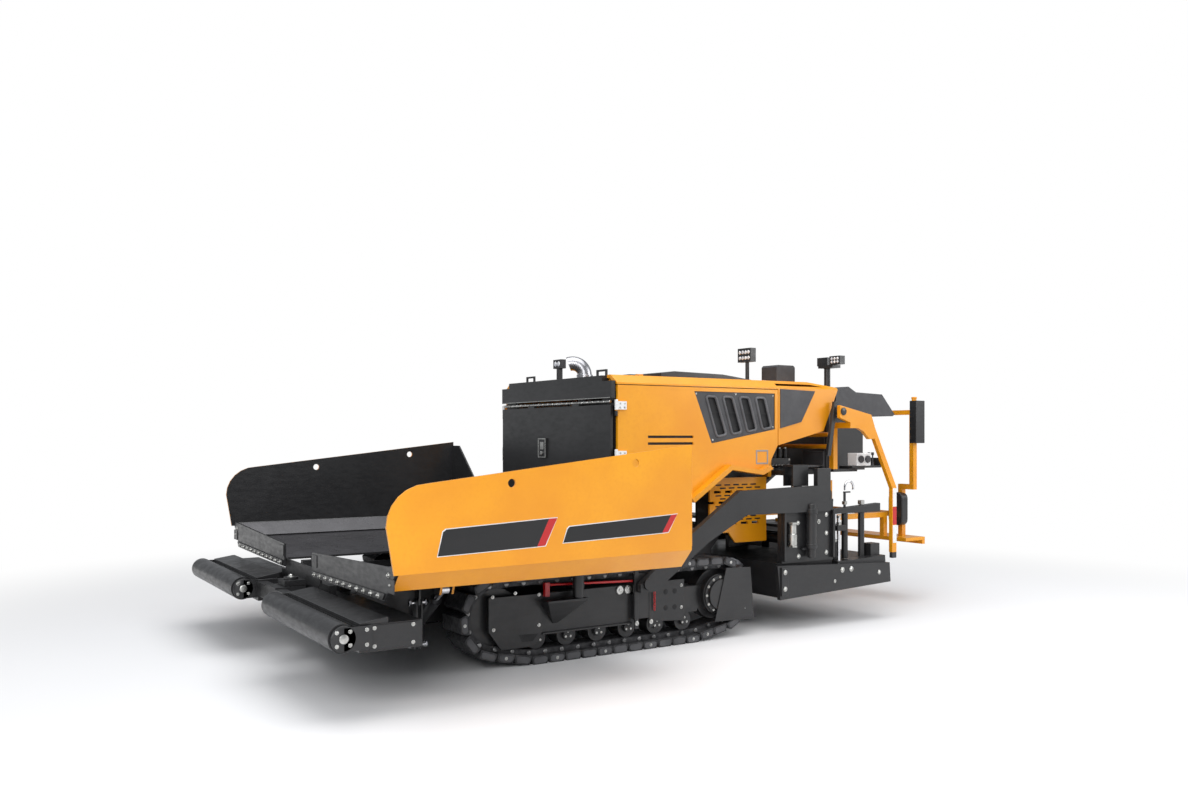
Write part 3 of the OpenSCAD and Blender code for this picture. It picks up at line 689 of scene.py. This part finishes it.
def form_track_frame(side, s):
    """Outer plates, cover, rails, wing rest and hubs of a track frame."""
    out = Vector((0, s, 0))
    plates = Piece(f"track_frame_plates_{side}", "tractor", black, 0.002)
    for outline, y, depth in (
            (((0.469, 0.165), (1.08, 0.165), (1.08, 0.39), (0.469, 0.39)), 0.799, 0.036),
            (((0.469, 0.159), (1.08, 0.159), (1.08, 0.169), (0.469, 0.169)), 0.834, 0.017),
            (((1.08, 0.165), (1.133, 0.098), (1.337, 0.098), (1.414, 0.205), (1.414, 0.392), (1.08, 0.39)),
             0.828, 0.014),
            (((1.08, 0.22), (1.3, 0.22), (1.3, 0.33), (1.08, 0.33)), 0.809, 0.02),
            (((0.078, 0.18), (0.33, 0.18), (0.33, 0.34), (0.078, 0.34)), 0.799, 0.036),
            (((0.078, 0.142), (0.332, 0.162), (0.332, 0.396), (0.078, 0.396)), 0.834, 0.013),
            (((0.334, 0.132), (0.362, 0.132), (0.362, 0.528), (0.334, 0.528)), 0.866, 0.009),
            (((0.438, 0.132), (0.466, 0.132), (0.466, 0.528), (0.438, 0.528)), 0.866, 0.009)):
        plates.sheet(outline, y, depth, s)
    rest = ((0.827, 1.091, 0.931, 0.357), (0.827, 1.091, 0.931, 0.345), (0.975, 1.011, 0.839, 0.216))
    plates.skin([[(x0, s * 0.834, z), (x1, s * 0.834, z), (x1, s * y, z), (x0, s * y, z)] for x0, x1, y, z in rest])
    plates.rod((0.878, s * 0.903, 0.356), (0.878, s * 0.903, 0.536), 0.033, 28)
    plates.turned((DRIVE_X, s * 0.789, DRIVE_Z), out,
                  [(0, 0.12), (0.042, 0.12), (0.0421, 0.128), (0.052, 0.128), (0.0521, 0.12), (0.062, 0.12),
                   (0.064, 0.117)], 40)
    for x in BOTTOM_ROLLERS:
        plates.turned((x, s * 0.804, BOTTOM_ROLLER_Z), out, [(0, 0.03), (0.022, 0.03), (0.024, 0.027)], 24)
    # Painted shade: flat near-black discs and a near-black patch on the plates, where the frame has holes.
    holes = Piece(f"track_frame_hole_shade_{side}", "tractor", painted_shade_black)
    for x in (0.151, 0.219):
        for z in (0.232, 0.329):
            holes.turned((x, s * 0.8465, z), out, [(0, 0.017), (0.0008, 0.0168), (0.0012, 0.016)], 24)
    holes.sheet(((1.229, 0.173), (1.105, 0.168), (1.14, 0.129), (1.209, 0.131)), 0.8415, 0.001, s)


def dress_track_frame(side, s):
    out = Vector((0, s, 0))
    places = [(DRIVE_X + 0.108 * math.cos(a), 0.853, DRIVE_Z + 0.108 * math.sin(a), 0.0055) for a in arc(0, 330, 11)]
    places += [(x, 0.842, z, 0.006) for x, z in
               ((1.1, 0.385), (1.25, 0.405), (1.39, 0.395), (1.1, 0.215), (1.385, 0.215))]
    places += [(x, 0.875, z, 0.008) for x in (0.348, 0.452) for z in (0.165, 0.495)]
    places += [(x, 0.847, z, 0.006) for z in (0.36, 0.225) for x in (0.1, 0.325)]
    places += [(x + 0.019 * math.cos(a), 0.828, BOTTOM_ROLLER_Z + 0.019 * math.sin(a), 0.004)
               for x in BOTTOM_ROLLERS for a in arc(90, 330, 2)]
    Piece(f"track_frame_bolts_{side}", "tractor", zinc).side_bolts(s, places)
    rings = Piece(f"port_rings_{side}", "tractor", zinc)
    for x in (0.492, 0.55):
        rings.turned((x, s * 0.834, 0.365), out, [(0, 0.025), (0.008, 0.025), (0.01, 0.022)], 28)
        rings.turned((x, s * 0.834, 0.365), out, [(0, 0.011), (0.013, 0.011), (0.015, 0.008)], 6)


def dress_guide_rod():
    """The red rod with its clips, its pin with a ring and the short chain at its rear end."""
    rod = Piece("guide_rod", "tractor", red)
    rod.rod((1.069, 0.849, 0.438), (0.242, 0.849, 0.406), 0.007)
    clips = Piece("guide_rod_ends", "tractor", red, 0.002)
    clips.box((1.04, 0.834, 0.371), (1.07, 0.861, 0.451))
    clips.box((0.255, 0.834, 0.393), (0.275, 0.859, 0.425))
    clip = Piece("guide_rod_clip", "tractor", red)
    pin_x, pin_z = 0.331, 0.409
    clip.rod((pin_x, 0.838, pin_z), (pin_x, 0.884, pin_z), 0.01)
    clip.collar((pin_x, 0.88, pin_z), (0, 1, 0), 0.019, 0.008, 20)
    for i in range(9):
        middle = Vector((pin_x, 0.886, 0.39 - 0.0185 * i))
        across = Vector((1, 0, 0)) if i % 2 else Vector((0, 1, 0))
        ring = [middle + across * 0.0065 * math.cos(a) + Vector((0, 0, 0.012 * math.sin(a))) for a in arc(0, 335, 13)]
        clip.tube(ring, 0.0026, 6, closed=True)


# Hood and cabinet
def form_hood():
    roof = Piece("hood_roof", "tractor", black, 0.003)
    roof.sheet(((0.04, 1.65), (0.04, 1.68), (-0.067, 1.694), (-0.47, 1.686), (-0.72, 1.658), (-0.72, 1.65)),
               -0.56, 1.12)
    trim = Piece("rear_trim", "tractor", grey, 0.002)
    for _, s in SIDES:
        trim.sheet(((-0.834, 1.326), (-0.834, 1.592), (-1.158, 1.584), (-1.028, 1.371)), 0.7195, 0.0055, s)
    beacon = Piece("beacon_box", "tractor", grey, 0.004)
    beacon.sheet(((-1.1, 1.65), (-1.15, 1.65), (-1.28, 1.631), (-1.28, 1.77), (-1.266, 1.784), (-1.114, 1.784),
                  (-1.1, 1.77)), 0.24, 0.16)
    amber = Piece("beacon_base", "tractor", amber_lens)
    amber.turned((-1.045, 0.32, 1.649), UP, [(0, 0.034), (0.016, 0.034), (0.022, 0.03), (0.026, 0.018)], 28)
    bars = Piece("guard_bars", "tractor", yellow)
    for z in (1.285, 1.2):
        bars.rod((-1.398, -0.622, z), (-1.398, 0.622, z), 0.017)


def dress_hood_door(side, s):
    body = f"hood_door_{side}"
    leaves = Piece(f"hood_hinge_leaves_{side}", body, white, 0.001)
    for low, high in ((1.135, 1.185), (1.435, 1.485)):
        leaves.side_box(s, (0.425, 0.7275, low), (0.494, 0.73, high))
        leaves.rod((0.5, s * 0.728, low - 0.003), (0.5, s * 0.728, high + 0.01), 0.0105)
    screws = Piece(f"hood_screws_{side}", body, zinc)
    screws.side_bolts(s, [(x, 0.73, z, 0.004) for z in (1.148, 1.172, 1.448, 1.472) for x in (0.44, 0.472)])
    screws.side_bolts(s, [(x, 0.714, z, 0.0035) for x, z in
                          ((-0.122, 1.545), (-0.256, 1.25), (-0.775, 1.335), (-0.775, 1.545), (-0.45, 1.548))])
    plate = Piece(f"blank_plate_{side}", body, pale_plate, 0.0008)
    for x0, x1, z0, z1 in ((-0.726, -0.62, 1.088, 1.098), (-0.726, -0.62, 1.172, 1.182),
                           (-0.726, -0.716, 1.098, 1.172), (-0.63, -0.62, 1.098, 1.172)):
        plate.side_box(s, (x0, 0.7195, z0), (x1, 0.722, z1))
    # Painted shade: near-black sheets behind the four vent slots, each with a bar across it, stand in for the shade
    # inside the hood.
    vent_shade = Piece(f"painted_shade_sheet_{side}", body, painted_shade_black)
    rims = Piece(f"vent_rims_{side}", body, grey_rim)
    for i in range(4):
        corners = [(-0.2 - 0.14 * i, 1.53), (-0.29 - 0.13 * i, 1.27 + 0.016 * i),
                   (-0.37 - 0.13 * i, 1.284 + 0.016 * i), (-0.28 - 0.14 * i, 1.53)]
        loop = rounded_loop(corners, 0.022)
        rims.tube([Vector((x, s * 0.7145, z)) for x, z in loop], 0.0085, 8, closed=True)
        y0, y1 = sorted((s * 0.702, s * 0.7035))
        vent_shade.prism([(x, y0, z) for x, z in loop], (0, y1 - y0, 0))
        bar_x, bar_z = -0.243 - 0.135 * i, 1.425 - 0.002 * i
        vent_shade.side_box(s, (bar_x - 0.083, 0.703, bar_z), (bar_x + 0.004, 0.709, bar_z + 0.01))
    # Painted shade: two near-black strips where two more slots are.
    for z in (1.219, 1.261):
        vent_shade.side_box(s, (-0.097, 0.708, z), (0.262, 0.71, z + 0.018))


def dress_side_panel(side, s):
    """Small vent slots between the rows that are cut in the lower side panel, drawn as thin near-black patches of
    painted shade.
    """
    length, height = 0.05, 0.009
    slots = Piece(f"side_panel_slot_shade_{side}", "tractor", painted_shade_black)
    for row in range(4):
        for lift, shift in ((0.028, 0.0), (0.049, 0.0375)):
            for k in range(5):
                x = -0.715 + 0.075 * k + shift
                z = 0.69 + 0.07 * row + lift
                slots.sheet(rounded_loop([(x, z), (x + length, z), (x + length, z + height), (x, z + height)], 0.004),
                            0.6545, 0.0012, s)


def dress_cabinet():
    latch = Piece("latch_frame", "front_door", zinc, 0.001)
    x0, x1 = 0.5365, 0.54
    for (y0, z0), (y1, z1) in (((-0.16, 1.13), (-0.06, 1.138)), ((-0.16, 1.252), (-0.06, 1.26)),
                               ((-0.132, 1.185), (-0.088, 1.235)), ((-0.16, 1.138), (-0.152, 1.252)),
                               ((-0.068, 1.138), (-0.06, 1.252))):
        latch.box((x0, y0, z0), (x1, y1, z1))
    latch.turned((x0, -0.11, 1.16), FORWARD, [(0, 0.013), (0.01, 0.013), (0.012, 0.01)], 24)
    hinge = Piece("front_door_hinge", "front_door", zinc)
    for i in range(22):
        y = -0.682 + 0.062 * i
        hinge.rod((0.509, y, 1.484), (0.509, y + 0.058, 1.484), 0.0105, 14)
    # Painted highlight: a thin bright zinc bar along the lid's edge stands in for the highlight on the seam.
    strip = Piece("lid_edge_highlight", "front_lid", zinc, 0.001)
    strip.box((0.5195, -0.69, 1.5055), (0.5245, 0.69, 1.5105))
    screws = Piece("front_panel_screws", "tractor", zinc)
    for y in (-0.66, -0.4, 0.4, 0.66):
        for z in (0.7, 0.96):
            screws.bolt((0.523, y, z), FORWARD, 0.006)


def dress_exhaust():
    """Duller steel, and no rounding: the elbow's facets are too narrow for it."""
    NODES["exhaust"].data.materials[0] = pipe_steel
    NODES["exhaust"].modifiers.clear()
    rings = Piece("exhaust_rings", "tractor", pipe_steel)
    rings.turned((0.11, -0.25, 1.6945), UP, [(0, 0.058), (0.006, 0.058), (0.009, 0.054)], 32)


# Lamps
def flat_lens(piece, at, facing, width, height, depth):
    """A flat rectangle with rounded corners that faces a direction in plan."""
    along = Vector((-facing.y, facing.x, 0))
    corner = 0.25 * min(width, height)
    outline = []
    for sx, sz, start in ((1, 1, 0), (-1, 1, 90), (-1, -1, 180), (1, -1, 270)):
        for a in arc(start, start + 90, 4):
            outline.append(at + along * (sx * (width / 2 - corner) + corner * math.cos(a))
                           + Vector((0, 0, sz * (height / 2 - corner) + corner * math.sin(a))))
    piece.prism(outline, facing * depth)


def dress_lamp(name, at, heading, width, height, cells, body="tractor"):
    """Reflector and lens cells on a lamp's face."""
    at = Vector(at)
    facing = Vector((math.cos(math.radians(heading)), math.sin(math.radians(heading)), 0))
    along = Vector((-facing.y, facing.x, 0))
    back = Piece(f"{name}_reflector", body, chrome)
    flat_lens(back, at - facing * 0.004, facing, width, height, 0.002)
    glass = Piece(f"{name}_cells", body, lens)
    columns, rows = cells
    radius = 0.42 * min(width / columns, height / rows)
    for i in range(columns):
        for j in range(rows):
            across = width * ((i + 0.5) / columns - 0.5)
            above = height * ((j + 0.5) / rows - 0.5)
            centre = at + along * across + Vector((0, 0, above))
            glass.turned(centre - facing * 0.003, facing,
                         [(0, radius), (0.002, radius), (0.005, 0.8 * radius), (0.006, 0.3 * radius)], 18)


# Rear of the machine
def form_guard(side, s):
    plate = Piece(f"guard_plate_{side}", "tractor", yellow, 0.003)
    plate.sheet(((-1.3, 1.488), (-1.61, 1.426), (-1.645, 1.345), (-1.64, 1.254), (-1.59, 1.252), (-1.5, 1.335),
                 (-1.396, 1.369), (-1.3, 1.4)), 0.7895, 0.031, s)
    boss = Piece(f"guard_boss_{side}", "tractor", black)
    boss.turned((-1.33, s * 0.768, 1.445), (0, s, 0),
                [(0, 0.024), (0.002, 0.026), (0.058, 0.026), (0.06, 0.022)], 28)


def dress_guard(side, s):
    """Reflective strip and rubber foot of a guard."""
    face = abs(outer_face(f"guard_{side}", s))
    for name, finish, bands in (("white", white, ((0.507, 0.634), (0.768, 0.9))), ("red", red, ((0.638, 0.764),))):
        bars = Piece(f"reflector_{name}_{side}", "tractor", finish, 0.0006)
        for z0, z1 in bands:
            bars.side_box(s, (-1.869, face - 0.001, z0), (-1.831, face + 0.0022, z1))
    foot = Piece(f"guard_foot_{side}", "tractor", rubber, 0.004)
    foot.side_box(s, (-1.872, face - 0.03, 0.398), (-1.828, face, 0.442))


def form_strut():
    """The black bar that hangs from the guard's boss behind the hood."""
    bar = Piece("rear_strut", "tractor", black, 0.003)
    bar.sheet(((-1.3, 1.515), (-1.332, 1.515), (-1.262, 1.138), (-1.23, 1.138)), 0.744, 0.026)


# Valve block and its hoses
VALVE_PORTS = [-1.15 + 0.054 * i for i in range(4)]
VALVE_PORT_Z = 1.062
HOSE_TOP_Z = 1.065
HOSE_TURN = 0.075
HOSE_SWAY_X = -1.2
HOSE_END_X = -1.402
HOSE_DIAMETER = 0.015


def dress_rear_fittings(side, s):
    """Valve block on the deck with its fittings."""
    block = Piece(f"valve_block_{side}", "tractor", black, 0.003)
    block.side_box(s, (-1.175, 0.33, 1.039), (-0.965, 0.46, 1.118))
    fittings = Piece(f"valve_fittings_{side}", "tractor", zinc)
    for x in VALVE_PORTS:
        block.rod((x, s * 0.43, 1.116), (x, s * 0.43, 1.185), 0.019)
        fittings.turned((x, s * 0.43, 1.184), UP, [(0, 0.012), (0.01, 0.012), (0.012, 0.009)], 6)
        fittings.turned((x, s * 0.458, VALVE_PORT_Z), (0, s, 0),
                        [(0, 0.016), (0.014, 0.016), (0.016, 0.013), (0.03, 0.012)], 6)
    fittings.side_bolts(s, [(x, 0.46, z, 0.005) for z in (1.05, 1.108) for x in (-1.165, -0.975)])


def dress_hose(name, points, diameter):
    """A hydraulic hose between two fittings."""
    path = smooth_path(points, 8)
    data = bpy.data.curves.new(name, "CURVE")
    data.dimensions = "3D"
    data.bevel_depth = diameter / 2
    data.bevel_resolution = 4
    data.use_fill_caps = True
    spline = data.splines.new("POLY")
    spline.points.add(len(path) - 1)
    for point, place in zip(spline.points, path):
        point.co = (*place, 1)
    data.materials.append(rubber)
    hose = bpy.data.objects.new(name, data)
    bpy.context.scene.collection.objects.link(hose)
    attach(hose, "tractor")


def dress_hoses():
    """Four hoses from the valve block round to the grey box behind it."""
    for i, x in enumerate(VALVE_PORTS):
        bulge = 0.6 + 0.02 * i
        end_y = 0.5 + 0.018 * i
        turned_x = x - HOSE_TURN
        sway_x = min(turned_x, HOSE_SWAY_X)
        points = [(x, 0.487, VALVE_PORT_Z), (x, 0.506 + 0.01 * i, VALVE_PORT_Z)]
        for a in arc(0, 90, 3):
            points.append((x - HOSE_TURN * (1 - math.cos(a)), bulge - HOSE_TURN * (1 - math.sin(a)),
                           VALVE_PORT_Z + (HOSE_TOP_Z - VALVE_PORT_Z) * math.sin(a)))
        steps = round((turned_x - sway_x) / 0.04) + 1
        points += [(turned_x + (sway_x - turned_x) * k / steps, bulge, HOSE_TOP_Z) for k in range(1, steps)]
        for a in arc(30, 180, 5):
            share = 0.5 * (1 - math.cos(a))
            points.append((sway_x + (HOSE_END_X - sway_x) * a / math.pi, bulge + (end_y - bulge) * share,
                           HOSE_TOP_Z + (VALVE_PORT_Z - HOSE_TOP_Z) * share))
        dress_hose(f"valve_hose_{i + 1}", points, HOSE_DIAMETER)


# Screed, its extensions and the lift
SCREW_X, SCREW_Y = -0.77, 0.908
EXTENSION_Y = 0.805
EXTENSION_SCREW_X = -1.262
POSTS = (-1.358, -1.522)


def form_arm_plate(side, s):
    """Flanges, bolts and the guide cylinder on the plate at a tow arm's rear end."""
    flanges = Piece(f"arm_plate_flanges_{side}", "screed", black, 0.002)
    for x0, x1, z0, z1 in ((-0.722, -0.704, 0.455, 0.848), (-1.166, -1.148, 0.455, 0.775),
                           (-1.148, -0.722, 0.832, 0.848), (-0.995, -0.865, 0.52, 0.536),
                           (-0.995, -0.865, 0.775, 0.791)):
        flanges.side_box(s, (x0, 0.8795, z0), (x1, 0.904, z1))
    flanges.turned((-0.93, s * 0.918, 0.47), UP,
                   [(0, 0.024), (0.004, 0.027), (0.06, 0.027), (0.061, 0.038), (0.066, 0.04), (0.09, 0.04),
                    (0.092, 0.034), (0.29, 0.034), (0.292, 0.04), (0.322, 0.04), (0.325, 0.03), (0.352, 0.03),
                    (0.356, 0.026)], 28)
    Piece(f"arm_plate_bolts_{side}", "screed", zinc).side_bolts(s, [(x, 0.88, z, 0.009) for x, z in (
        (-0.85, 0.48), (-1.105, 0.49), (-1.105, 0.62), (-1.105, 0.745), (-0.845, 0.7), (-1.035, 0.7))])


def dress_screed():
    """Plated sleeves with their nuts on the height screws."""
    sleeves = Piece("screed_sleeves", "screed", zinc)
    nuts = Piece("screed_nuts", "screed", zinc)
    for _, s in SIDES:
        sleeves.turned((SCREW_X, s * SCREW_Y, 0.56), UP,
                       [(0, 0.028), (0.003, 0.03), (0.072, 0.03), (0.076, 0.026), (0.132, 0.025),
                        (0.136, 0.022)], 24)
        for z in (0.547, 0.697):
            nuts.collar((SCREW_X, s * SCREW_Y, z), UP, 0.033, 0.013, 6)


def form_screed(side, s):
    """Raised bracket of the tow arm; posts, rail and crank of the extension."""
    arm = Piece(f"tow_bracket_{side}", "screed", black, 0.003)
    arm.sheet(((-0.985, 0.94), (-0.985, 1.059), (-1.108, 1.059), (-1.108, 0.775), (-1.05, 0.775)), 0.8805, 0.039, s)
    y = EXTENSION_Y
    posts = Piece(f"extension_posts_{side}", f"screed_ext_{side}", black, 0.002)
    for x in POSTS:
        posts.rod((x, s * y, 0.415), (x, s * y, 0.742), 0.022)
    posts.rod((EXTENSION_SCREW_X, s * y, 0.41), (EXTENSION_SCREW_X, s * y, 0.56), 0.03)
    posts.sheet(((-1.215, 0.74), (-1.215, 0.772), (-1.69, 0.8), (-1.69, 0.74)), 0.78, 0.05, s)
    posts.rod((POSTS[0], s * y, 0.77), (POSTS[0], s * y, 0.882), 0.009)
    posts.side_box(s, (-1.41, 0.798, 0.88), (-1.35, 0.812, 0.89))
    posts.side_box(s, (-1.66, 0.77, 0.43), (-1.57, 0.85, 0.52))
    gate = Piece(f"end_gate_bracket_{side}", f"screed_ext_{side}", black, 0.003)
    gate.sheet(((-0.64, 0.24), (-0.64, 0.425), (-0.7, 0.412), (-0.7, 0.24)), 0.9345, 0.0125, s)


def dress_extension(side, s):
    """The bright screw, its clamp, the crank's handle and the nuts of an extension."""
    body = f"screed_ext_{side}"
    spindle_x, spindle_y = -1.225, 0.878
    bright = Piece(f"extension_screw_{side}", body, chrome)
    bright.rod((EXTENSION_SCREW_X, s * EXTENSION_Y, 0.56), (EXTENSION_SCREW_X, s * EXTENSION_Y, 0.742), 0.0155)
    bright.rod((spindle_x, s * spindle_y, 0.395), (spindle_x, s * spindle_y, 0.735), 0.011)
    bright.tube([Vector((-1.402 + 0.042 * math.cos(a), s * EXTENSION_Y, 0.915 + 0.046 * math.sin(a)))
                 for a in arc(-20, 200, 12)], 0.0075)
    clamps = Piece(f"extension_clamps_{side}", body, black, 0.002)
    for z0, z1 in ((0.63, 0.668), (0.398, 0.425)):
        clamps.side_box(s, (-1.275, 0.8, z0), (-1.195, 0.898, z1))
    nuts = Piece(f"extension_nuts_{side}", body, zinc)
    for x, y, z, height, radius in ((spindle_x, spindle_y, 0.668, 0.02, 0.019),
                                    (spindle_x, spindle_y, 0.716, 0.018, 0.017),
                                    (EXTENSION_SCREW_X, EXTENSION_Y, 0.545, 0.02, 0.034),
                                    (POSTS[0], EXTENSION_Y, 0.8, 0.022, 0.02),
                                    (POSTS[1], EXTENSION_Y, 0.794, 0.03, 0.026),
                                    (POSTS[0], EXTENSION_Y, 0.412, 0.016, 0.032),
                                    (POSTS[1], EXTENSION_Y, 0.412, 0.016, 0.032)):
        nuts.turned((x, s * y, z), UP, [(0, 0.93 * radius), (0.002, radius), (height - 0.002, radius),
                                        (height, 0.9 * radius)], 6)


def dress_end_gate(side, s):
    Piece(f"end_gate_bolts_{side}", f"screed_ext_{side}", zinc).side_bolts(s, (
        (-0.668, 0.947, 0.285, 0.0095), (-0.668, 0.947, 0.392, 0.0095), (-1.2, 0.935, 0.372, 0.011),
        (-1.285, 0.935, 0.372, 0.011), (-1.56, 0.935, 0.33, 0.009), (-1.13, 0.935, 0.3, 0.007)))


def dress_lift_cylinder(side, s):
    """Pipes along a lift cylinder, with the bands that hold them."""
    body = f"lift_barrel_{side}"
    pipes = Piece(f"lift_pipes_{side}", body, chrome)
    for x, y, low, high in ((-0.951, 0.8, 0.72, 0.955), (-0.869, 0.812, 0.76, 0.955)):
        pipes.tube(smooth_path([(x, s * y, z) for z in (low, 0.5 * (low + high), high)], 4), 0.0065)
    bands = Piece(f"lift_bands_{side}", body, zinc)
    for z in (0.684, 0.735, 0.9):
        bands.collar((-0.91, s * 0.791, z), UP, 0.036, 0.016, 28, edge=0.0025)


# Boxes at the rear
def dress_socket_box():
    """The white socket box on a bracket beside the console, with two levers."""
    bracket = Piece("socket_bracket", "tractor", black, 0.002)
    bracket.box((-1.86, 0.56, 1.045), (-1.56, 0.69, 1.06))
    bracket.box((-1.86, 0.56, 1.06), (-1.852, 0.69, 1.116))
    bracket.box((-1.64, 0.56, 1.038), (-1.56, 0.655, 1.046))
    box = Piece("socket_box", "tractor", white, 0.004)
    box.box((-1.749, 0.6, 1.06), (-1.605, 0.69, 1.152))
    caps = Piece("socket_caps", "tractor", grey, 0.002)
    for x in (-1.712, -1.642):
        caps.turned((x, 0.689, 1.108), (0, 1, 0), [(0, 0.026), (0.012, 0.026), (0.016, 0.022)], 24)
    for x in (-1.822, -1.785):
        caps.turned((x, 0.64, 1.058), UP,
                    [(0, 0.014), (0.03, 0.006), (0.075, 0.005), (0.08, 0.011), (0.098, 0.01)], 14)


def form_rear():
    """Control boxes with their knobs and the cases on the rear step, and the box that the hoses run to."""
    boxes = Piece("screed_boxes", "screed", black, 0.004)
    pads = Piece("step_cases", "screed", black, 0.012)
    knobs = Piece("box_knobs", "screed", yellow)
    hydraulic = Piece("hydraulic_box", "tractor", grey, 0.003)
    case = rounded_loop([(0.33, 0.58), (0.47, 0.58), (0.47, 0.835), (0.33, 0.835)], 0.05)
    for _, s in SIDES:
        boxes.side_box(s, (-2.46, 0.524, 1.22), (-2.36, 0.588, 1.547))
        for z in (1.27, 1.43):
            boxes.side_box(s, (-2.45, 0.518, z), (-2.41, 0.526, z + 0.04))
        pads.skin([[(x, s * y, z) for y, z in case] for x in (-2.412, -2.34)])
        knobs.turned((-2.375, s * 0.556, 1.546), UP,
                     [(0, 0.018), (0.014, 0.018), (0.016, 0.021), (0.026, 0.021), (0.029, 0.016)], 20)
        hydraulic.side_box(s, (-1.478, 0.345, 1.039), (HOSE_END_X, 0.56, 1.165))


for dress in (form_arm_plate, form_track_frame, form_screed, form_guard, finish_wing, dress_wing, dress_flap,
              dress_links, dress_track, dress_track_frame, dress_hood_door, dress_side_panel, dress_guard,
              dress_rear_fittings, dress_end_gate, dress_extension, dress_lift_cylinder):
    for side, s in SIDES:
        dress(side, s)
form_hood()
form_push_beam()
form_rear()
form_strut()
dress_push_beam()
dress_guide_rod()
dress_cabinet()
dress_exhaust()
dress_lamp("lamp_hood", (-0.9685, 0.2, 1.86), 0, 0.124, 0.082, (4, 2))
dress_lamp("lamp_mast_front", (-1.3785, 0.69, 1.81), 0, 0.084, 0.046, (3, 2))
dress_lamp("lamp_mast_rear", (-1.4815, 0.52, 1.81), 180, 0.084, 0.046, (3, 2))
dress_lamp("lamp_front", (0.4265, -0.1, 1.76), 0, 0.084, 0.046, (2, 1), "front_lid")
dress_screed()
dress_socket_box()
for piece in Piece.begun:
    piece.done()
dress_hoses()

bpy.context.scene.view_settings.view_transform = "Standard"
